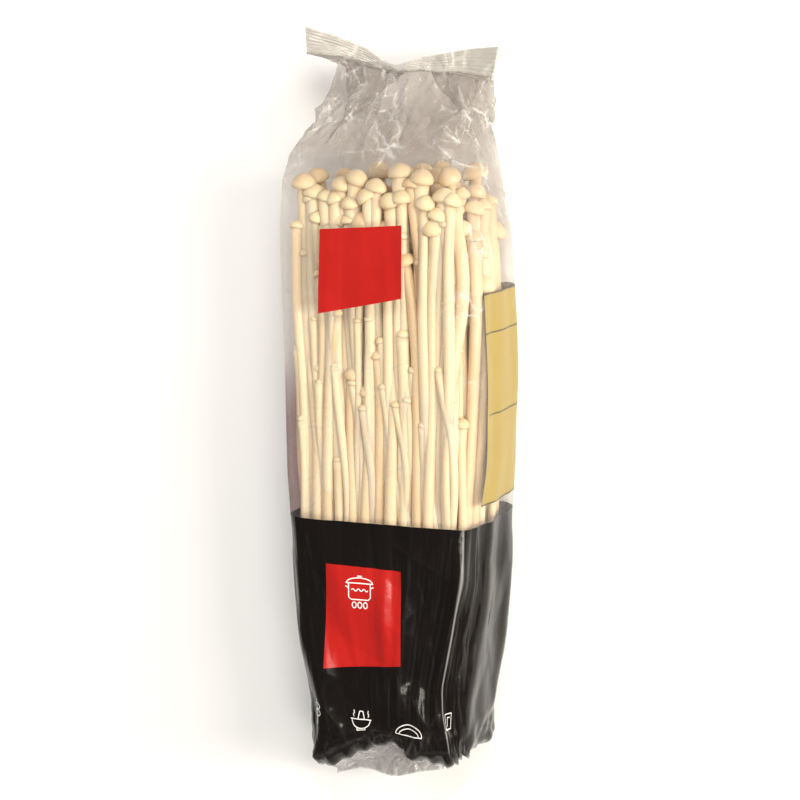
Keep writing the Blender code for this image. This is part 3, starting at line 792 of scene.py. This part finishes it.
# Sharp folds in the front of the film: (x, y) of both ends, how far each stands up, its width; millimetres
FRONT_FOLDS = (
    (-8, 92, -25, 83, 1.3, 1.1), (-8, 91, -23, 79, 1.2, 0.9), (-9, 90, -20, 77, 1.0, 0.9),
    (-10, 89, -16, 74, 1.2, 0.9), (-9, 92, -27, 72, 1.0, 1.0), (-13, 101, -9, 90, 1.0, 0.9),
    (-16, 99, -10, 89, 0.9, 0.9), (-6, 97, -7, 80, 0.9, 1.2), (-3, 96, -5, 72, 0.8, 1.0),
    (2, 96, 4, 82, 0.5, 1.0), (17, 93, 25, 75, 1.2, 1.1), (19, 90, 17, 78, 0.8, 0.9),
    (16, 80, 27, 73, 1.1, 0.9), (14, 78, 24, 69, 1.0, 0.8), (-18, 73, 4, 75.5, 0.6, 0.8),
    (-25, 84, -28, 62, 0.8, 0.8), (22, 80, 28, 66, 0.9, 0.8), (-20, 86, -24, 70, 0.6, 0.9),
    (9, 95, 15, 84, 0.5, 1.0),
    (-22, -33, -18, -58, 0.40, 2.2), (-16, -85, -9, -97, 0.45, 1.8), (-13, -80, -3, -92, 0.30, 2.6),
    (2, -34, 21, -44, 0.30, 2.8), (6, -58, 17, -50, 0.25, 2.4), (22, -31, 20, -46, 0.50, 1.5),
    (-8, -94, 6, -92, 0.45, 1.5), (8, -76, 15, -90, 0.40, 2.2), (12, -94, 17, -84, 0.40, 1.6),
)


def fold_height(x, y):
    """How far FRONT_FOLDS stand up at (x, y), and how sharply the film is folded there, 0 to 1.

    Each fold is highest along its own line and falls off as exp(-distance / width).
    """
    total, sharp = 0 * x, 0 * x
    for x0, y0, x1, y1, height, width in FRONT_FOLDS:
        run = math.hypot(x1 - x0, y1 - y0)
        along = ((x - x0) * (x1 - x0) + (y - y0) * (y1 - y0)) / run**2
        aside = np.abs((x - x0) * (y1 - y0) - (y - y0) * (x1 - x0)) / run
        keep = smoothstep(along, -0.05, 0.12) * (1 - smoothstep(along, 0.80, 1.08))
        total = total + height * keep * np.exp(-aside / width)
        line = np.exp(-((aside / CREASE_WIDTH) ** 2)) * (0.55 + 0.45 * np.sin(along * 17 + x0))
        sharp = np.maximum(sharp, keep * line * min(height, 1.0))
    return total, sharp


def section_at(place, keys):
    """(x, z) on the section's polygon at place: from the back seam on, each side adds its share so far."""
    x, z = keys[0][1]
    for (low, (x0, z0)), (high, (x1, z1)) in zip(keys, keys[1:]):
        share = np.clip((place - low) / (high - low), 0, 1)
        x, z = x + (x1 - x0) * share, z + (z1 - z0) * share
    return x, z


def surface_normals(points):
    """Outward unit normals of the film: its direction along the bag crossed with its direction round it."""
    normal = np.cross(np.gradient(points, axis=1), np.gradient(points, axis=0))
    return normal / (np.linalg.norm(normal, axis=-1, keepdims=True) + 1e-12)


def crumpling(u, v, x, y, z, seal):
    """How far the film stands out from its smooth surface (millimetres), and its sharp folds, 0 to 1."""
    neck, foot = smoothstep(v, 70, 82) * (1 - 0.8 * smoothstep(v, 94, ROOT_V)), smoothstep(-v, 84, 100)
    body, black = (1 - neck) * (1 - foot) * (1 - seal), smoothstep(-v, 28, 44)
    is_front = smoothstep(z, 17, 24)
    long_folds = crumple(u, v * 0.10, 11, 3, 4) * 0.30 + crumple(u, v * 0.55, 26, 4, 4) * 0.34
    on_black = black * 0.95 * crumple(u * 0.7, v * 0.6, 24, 9, 4)
    lift = body * (0.35 + long_folds * (1 + 0.5 * black) + on_black)
    lift = lift + neck * (0.5 + 1.15 * crumple(u, v * 0.8, 13, 6, 5) + 0.5 * crumple(u, v, 6, 7, 4))
    lift = lift + foot * (1 - seal) * (0.4 + 1.3 * crumple(u, v, 12, 12, 5))
    ridge, sharp = fold_height(x, y)
    return lift + ridge * is_front * (1 - 0.7 * seal), np.clip(sharp * is_front, 0, 1)


def bag_surface(u, v):
    """Points (metres), and how sharply the film is folded there (0 to 1), for arrays of u and v.

    The section is the polygon of bag_keys, read at u and averaged over corner_reach to round its folds. Its
    ends are then carried to SEAL_LINE, and crumpling and folds are added along the surface normal.
    """
    keys, reach = bag_keys(v), corner_reach(u, v)
    places = [np.mod(u + offset * reach, GIRTH) for offset in np.linspace(-1, 1, 9)]
    x, z = np.mean([section_at(place, keys) for place in places], axis=0)
    share = np.where(x < 0, x / eased(v, BAG, LEFT), x / eased(v, BAG, RIGHT))
    pull, widen = smoothstep(v, 84, ROOT_V) ** 1.6, smoothstep(v, 93.5, ROOT_V)
    over, at_seal = np.clip((v - ROOT_V) / (TIP_V - ROOT_V), 0, 1), np.clip(share, -1.06, 1.06)
    root_x, root_y, tip_x, tip_y = (eased(at_seal, SEAL_LINE, k, 0.05) for k in range(1, 5))
    x = x + widen * (root_x * (1 - over) + tip_x * over - x)
    y = v + pull * (root_y * (1 - over) + tip_y * over - np.clip(v, None, TIP_V))
    z = z + pull * (2.6 * share**2 - 0.6)
    # The bottom end hangs a little and is drawn in towards the middle; the black's lower edge is uneven
    base = smoothstep(-v, 98, 110)
    x = x + base * (-0.06 * x - 1.0)
    edge = np.interp(x, *np.transpose(LOWER_EDGE)) * smoothstep(-v, 88, 98) * (1 - smoothstep(-v, 102, 110))
    y = y + edge - 2.2 * base * smoothstep(-x, 8, 22)
    y = y + base * (3.0 * smoothstep(x, 4, 14) + 1.3 * np.sin(x / 3.6) * (1 - smoothstep(x, 9, 16)))
    points = np.stack([x, y, z], axis=-1)
    seal = np.clip(smoothstep(v, ROOT_V - 1, ROOT_V + 0.3) + smoothstep(-v, 106, 107.5), 0, 1)
    lift, sharp = crumpling(u, v, x, y, z, seal)
    crimp = seal * smoothstep(v, 0, 1) * CRIMP_HEIGHT * np.sin(v * 2 * math.pi / CRIMP_PITCH)
    bend = 1.2 * np.sin(share * 5.0 + 0.6) * pull + seal * 0.4 * crumple(u * 0.5, v * 0.2, 9, 21, 3)
    # The crumpling fades out at the back seam, so that its two edges meet
    meets = smoothstep(np.minimum(u, GIRTH - u), 0, 6)
    points = points + surface_normals(points) * (lift * meets)[..., None]
    points[..., 2] = np.maximum(points[..., 2] + (crimp + bend) * meets, TABLE_GAP)
    return points / 1000, sharp


def fold_sharpness(points):
    """How strongly the film is bent at each grid point, 0 to 1: the turn of its normal to the neighbours."""
    normal = surface_normals(points)
    turn = np.zeros(points.shape[:2])
    for axis in (0, 1):
        step = 1 - (normal * np.roll(normal, 1, axis=axis)).sum(axis=-1)
        turn = np.maximum(turn, step)
    turn[0], turn[:, 0] = 0, 0
    return np.clip(turn * 3.0, 0, 1)


U_LINE = np.concatenate([
    np.linspace(0, 60, 70)[:-1], np.linspace(60, 70.5, 20)[:-1], np.linspace(70.5, 72.5, 11)[:-1],
    np.linspace(72.5, 140, 125)[:-1], np.linspace(140, 200, 70),
])
FILM_BANDS = (
    # name, lowest v, highest v, its flat length in millimetres, rows, finish
    ("film_bottom_end", BOTTOM_V, BLACK_BOTTOM, 16, 44, LOOSE),
    ("film_black_print", BLACK_BOTTOM, BLACK_TOP, 70, 130, BLACK),
    ("film_clear_body", BLACK_TOP, 68.0, 102, 150, CLEAR),
    ("film_clear_neck", 68.0, ROOT_V, 38, 110, CLEAR),
    ("film_top_seal", ROOT_V, TIP_V, 8, 44, SEAL),
)
ALL_V = np.unique(np.concatenate([np.linspace(low, high, rows) for _, low, high, _, rows, _ in FILM_BANDS]))
FILM_U, FILM_V = np.meshgrid(U_LINE, ALL_V, indexing="ij")
FILM_POINTS, FILM_SHARP = bag_surface(FILM_U, FILM_V)
FILM_NORMALS = surface_normals(FILM_POINTS)


def film_creases():
    """Whiteness of the film, 0 to 1, partly stress-whitened film and partly painted highlight: along the
    neck's sharp folds and every bend; along the front right fold it is a painted highlight line.
    """
    # A painted highlight line along the front right fold
    front_right = 0.85 * np.exp(-(((FILM_U - FRONT_RIGHT) / 0.26) ** 2))
    front_right *= smoothstep(-FILM_V, 24, 34) * (1 - smoothstep(-FILM_V, 92, 98))
    sharp = FILM_SHARP * smoothstep(FILM_V, 55, 62)
    return np.clip(sharp + 0.5 * fold_sharpness(FILM_POINTS) + front_right, 0, 1)


def add_film():
    """The bag in bands that share one surface; the clear band over the mushrooms stands for the film node."""
    crease = film_creases()
    for name, low, high, length, _, finish in FILM_BANDS:
        keep = np.flatnonzero((ALL_V >= low - 1e-9) & (ALL_V <= high + 1e-9))
        points = FILM_POINTS[:, keep]
        uv = np.stack([FILM_U[:, keep] / 1000, FILM_V[:, keep] / 1000], axis=2).reshape(-1, 2)
        u, v = FILM_U[:, keep], FILM_V[:, keep]
        # Painted shade on the film: a darker tint on the neck, and half as much on the upper back and right
        # side
        film_shade = np.maximum(smoothstep(v, 60, 78), 0.5 * smoothstep(v, 30, 60) * (1 - smoothstep(u, 60, 80)))
        # Painted mauve reflection low on the left side
        left_side = smoothstep(u, 126, 133) * (1 - smoothstep(u, 158, 168))
        mauve_reflection = left_side * (1 - smoothstep(v, -4, 22))
        # More crinkling and more painted glints on the right shoulder, and in the neck
        shoulder = smoothstep(v, -10, 60) * smoothstep(u, 20, 40) * (1 - smoothstep(u, 72, 84))
        crinkle_and_glint = np.maximum(smoothstep(v, 62, 76), 0.20 + 0.70 * shoulder)
        made = add_surface(
            name, points.reshape(-1, 3), grid_faces(len(U_LINE), len(keep)), finish, uv,
            {"crease": crease[:, keep], "film_shade": film_shade, "mauve_reflection": mauve_reflection, "crinkle_and_glint": crinkle_and_glint},
        )
        if name == "film_clear_body":
            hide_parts("film_bag")


def on_film(u, v, lift):
    """Points on the film at (u, v) in millimetres, read between its grid points and raised by lift metres."""
    iu = np.clip(np.searchsorted(U_LINE, u, side="right") - 1, 0, len(U_LINE) - 2)
    iv = np.clip(np.searchsorted(ALL_V, v, side="right") - 1, 0, len(ALL_V) - 2)
    a = ((u - U_LINE[iu]) / (U_LINE[iu + 1] - U_LINE[iu]))[..., None]
    b = ((v - ALL_V[iv]) / (ALL_V[iv + 1] - ALL_V[iv]))[..., None]

    def between(field):
        return ((1 - a) * (1 - b) * field[iu, iv] + a * (1 - b) * field[iu + 1, iv]
                + (1 - a) * b * field[iu, iv + 1] + a * b * field[iu + 1, iv + 1])

    return between(FILM_POINTS) + between(FILM_NORMALS) * lift


def add_panel(name, corners, finish, lift=0.00006, steps=(60, 60)):
    """A printed patch: the four corners' (u, v) are joined by straight edges and laid on the film."""
    (u0, v0), (u1, v1), (u2, v2), (u3, v3) = corners
    s, t = np.meshgrid(np.linspace(0, 1, steps[0]), np.linspace(0, 1, steps[1]), indexing="ij")
    u = (1 - s) * (1 - t) * u0 + s * (1 - t) * u1 + s * t * u2 + (1 - s) * t * u3
    v = (1 - s) * (1 - t) * v0 + s * (1 - t) * v1 + s * t * v2 + (1 - s) * t * v3
    points = on_film(u, v, lift)
    uv = np.stack([u / 1000, v / 1000], axis=2).reshape(-1, 2)
    return add_surface(name, points.reshape(-1, 3), grid_faces(*steps), finish, uv)


def add_lines(name, strokes, finish, width=0.32, lift=0.00012):
    """Printed line work: each stroke, a list of (u, v) points, is a ribbon of that width on the film."""
    points, faces, count = [], [], 0
    for stroke in strokes:
        line = np.array(stroke, float)
        run = np.concatenate([[0], np.cumsum(np.linalg.norm(np.diff(line, axis=0), axis=1))])
        steps = max(int(run[-1] / 0.25), 3)
        fine = np.stack([np.interp(np.linspace(0, run[-1], steps), run, line[:, k]) for k in (0, 1)], axis=1)
        along = np.gradient(fine, axis=0)
        aside = np.stack([-along[:, 1], along[:, 0]], axis=1)
        aside *= width / 2 / (np.linalg.norm(aside, axis=1, keepdims=True) + 1e-12)
        pair = np.stack([fine - aside, fine + aside], axis=1)
        points.append(on_film(pair[..., 0], pair[..., 1], lift).reshape(-1, 3))
        faces.append(grid_faces(steps, 2) + count)
        count += steps * 2
    return add_surface(name, np.concatenate(points), np.concatenate(faces), finish)


def arc(u, v, ru, rv, start, end, count=24):
    """Points of an ellipse's arc about (u, v); angles in degrees."""
    angle = np.radians(np.linspace(start, end, count))
    return list(zip(u + ru * np.cos(angle), v + rv * np.sin(angle)))


def front(x, y):
    """(u, v) of the front panel's point that lies at x, y millimetres: u runs from right to left there."""
    edge = np.interp(y, BAG[:, 0], BAG[:, FOLD_X if x > 0 else LEFT])
    return GIRTH / 2 - (GIRTH / 2 - FRONT_RIGHT) * x / edge, y


def placed(strokes, x, y, scale):
    """A pictogram's strokes, drawn about (0, 0) in its own units, set on the front panel at x, y."""
    return [[front(x + a * scale, y + b * scale) for a, b in stroke] for stroke in strokes]


def wave(x0, x1, y, height, count):
    """A wavy line from x0 to x1."""
    x = np.linspace(x0, x1, 8 * count)
    return list(zip(x, y + height * np.sin((x - x0) / (x1 - x0) * count * 2 * math.pi)))


# Pictograms, each a list of strokes about (0, 0) in millimetres
POT = [
    [(-3.3, 1.6), (-3.3, -2.3), (-2.6, -3.0), (2.6, -3.0), (3.3, -2.3), (3.3, 1.6)],
    [(-4.2, 1.8), (4.2, 1.8)], arc(0, 1.9, 3.9, 1.5, 0, 180), [(-0.7, 3.9), (0.7, 3.9)],
    [(-3.3, 0.4), (-4.3, 0.9)], [(3.3, 0.4), (4.3, 0.9)], wave(-2.5, 2.5, -0.2, 0.35, 3),
    *[arc(flame_x, -4.6, 0.6, 0.9, 0, 360, 16) for flame_x in (-1.7, 0, 1.7)],
]
BOWL = [
    arc(0, 0.4, 3.4, 3.6, 180, 360), [(-3.9, 0.4), (3.9, 0.4)],
    [(-1.5, -3.1), (-1.5, -3.9), (1.5, -3.9), (1.5, -3.1)],
    [(-1.2, 0.4), (-0.6, 3.2), (0.6, 3.2), (1.2, 0.4)],
    [(-2.6, 1.2), (-2.9, 2.0), (-2.4, 2.7), (-2.7, 3.5)], [(2.6, 1.2), (2.9, 2.0), (2.4, 2.7), (2.7, 3.5)],
]
DUMPLING = [
    arc(0, -1.6, 4.4, 3.9, 0, 180), arc(0, -1.6, 3.3, 2.5, 0, 180), [(-4.4, -1.6), (4.4, -1.6)],
]
SKEWER = [arc(0, 1.6, 1.7, 1.2, 0, 360, 18), arc(0, -0.9, 1.7, 1.2, 0, 360, 18), [(0, 4.2), (0, -4.4)]]
CARTON = [
    [(-1.3, -3.2), (-1.6, 2.2), (2.2, 3.0), (2.2, -2.6), (-1.3, -3.2)], [(0.2, -1.9), (0.1, 1.2), (1.3, 1.4)],
]


def add_print():
    """What is printed or stuck on the film: two plain red panels, pictograms and the ruled yellow label."""
    upper = (front(-16.7, 53.4), front(7.6, 55.1), front(7.3, 34.9), front(-17.4, 29.8))
    lower = (front(-16.1, -42.0), front(6.3, -42.9), front(6.3, -70.4), front(-17.2, -73.3))
    add_panel("red_panel_top", upper, RED)
    add_panel("red_panel_low", lower, RED, lift=0.00010)
    strokes = placed(POT, -6.0, -49.0, 1.0)
    strokes += placed(BOWL, -6.0, -88.0, 0.85) + placed(DUMPLING, 8.6, -89.6, 0.90)
    strokes += placed(SKEWER, -20.0, -86.3, 0.85) + placed(CARTON, 21.0, -85.8, 0.85)
    add_lines("white_pictograms", strokes, WHITE)
    u0, u1, low, high = 61.0, BACK_RIGHT - 8.0, -24.0, 35.5
    add_panel("yellow_label", ((u0, high), (u1, high), (u1, low), (u0, low)), YELLOW, steps=(40, 120))
    rules = [[(u0, rule_v), (u1, rule_v)] for rule_v in (high, low)]
    rules += [[(u0, low), (u0, high)], [(u0, 24.5), (u1, 24.5)], [(u0 - 2, 1.3), (u1, 1.3)]]
    add_lines("label_rules", rules, DARK, width=0.4)


add_film()
add_print()


# ---------------------------------------------------------------- stage, light and camera
TABLE_HALF = 1.6


def add_stage():
    """A plain pale table under the bag."""
    line = np.array([-TABLE_HALF, TABLE_HALF])
    x, y = np.meshgrid(line, line)
    corners = np.stack([x, y, 0 * x - 0.00005], axis=2).reshape(-1, 3)
    f = Finish("pale_table")
    floor_mesh = bpy.data.meshes.new("floor")
    floor_mesh.from_pydata(corners.tolist(), [], grid_faces(2, 2).tolist())
    floor_mesh.materials.append(f.done(f.shader(Base_Color=(0.86, 0.86, 0.86), Roughness=0.75)))
    floor = bpy.data.objects.new("floor", floor_mesh)
    bpy.context.scene.collection.objects.link(floor)


def add_area(name, place, aim, size, power, colour):
    lamp = bpy.data.lights.new(name, "AREA")
    lamp.shape, lamp.size, lamp.size_y, lamp.energy, lamp.color = "RECTANGLE", size[0], size[1], power, colour
    holder = bpy.data.objects.new(name, lamp)
    holder.location = place
    holder.rotation_euler = (Vector(aim) - Vector(place)).to_track_quat("-Z", "Y").to_euler()
    bpy.context.scene.collection.objects.link(holder)


def add_lights():
    """Light from overhead and the left, a narrow strip above the right fold, a warm window, a pale room."""
    add_area("overhead", (0.32, 0.62, 0.80), (0, 0, 0.02), (0.40, 0.34), 5.4, (1.0, 0.96, 0.90))
    add_area("left_fill", (-0.85, 0.25, 0.55), (0, 0, 0.02), (0.35, 0.6), 3.9, (0.98, 0.98, 1.0))
    add_area("corner_strip", (0.40, -0.12, 1.00), (0.02, 0, 0.03), (0.10, 0.55), 4.8, (1.0, 0.96, 0.86))
    add_area("right_window", (0.70, 0.10, 0.42), (0.0, 0.0, 0.02), (0.22, 0.5), 8.8, (1.0, 0.95, 0.84))
    world = bpy.data.worlds.new("room")
    bpy.context.scene.world = world
    world.use_nodes = True
    sky = world.node_tree.nodes["Background"].inputs
    sky["Color"].default_value, sky["Strength"].default_value = (1.0, 0.97, 0.94, 1.0), 0.20


def add_camera():
    """Above the bag, towards its right side and its caps."""
    aside, ahead, distance = math.radians(20.0), math.radians(9.5), 0.62
    seen_width = 0.2304
    towards = Vector((math.sin(aside) * math.cos(ahead), math.sin(ahead), math.cos(aside) * math.cos(ahead)))
    aim = Vector((-0.0010, 0.0028, 0.0216))
    eye = bpy.data.cameras.new("camera")
    eye.sensor_width, eye.lens = 36.0, 36.0 * distance / seen_width
    eye.clip_start = 0.01
    holder = bpy.data.objects.new("camera", eye)
    back = towards.normalized()
    right = Vector((0, 1, 0)).cross(back).normalized()
    up = back.cross(right)
    turned = Matrix((right, up, back)).transposed().to_4x4()
    holder.matrix_world = Matrix.Translation(aim + back * distance) @ turned
    bpy.context.scene.collection.objects.link(holder)
    bpy.context.scene.camera = holder


add_stage()
add_lights()
add_camera()
bpy.context.scene.view_settings.view_transform = "Standard"
bpy.context.scene.cycles.transparent_max_bounces = 32
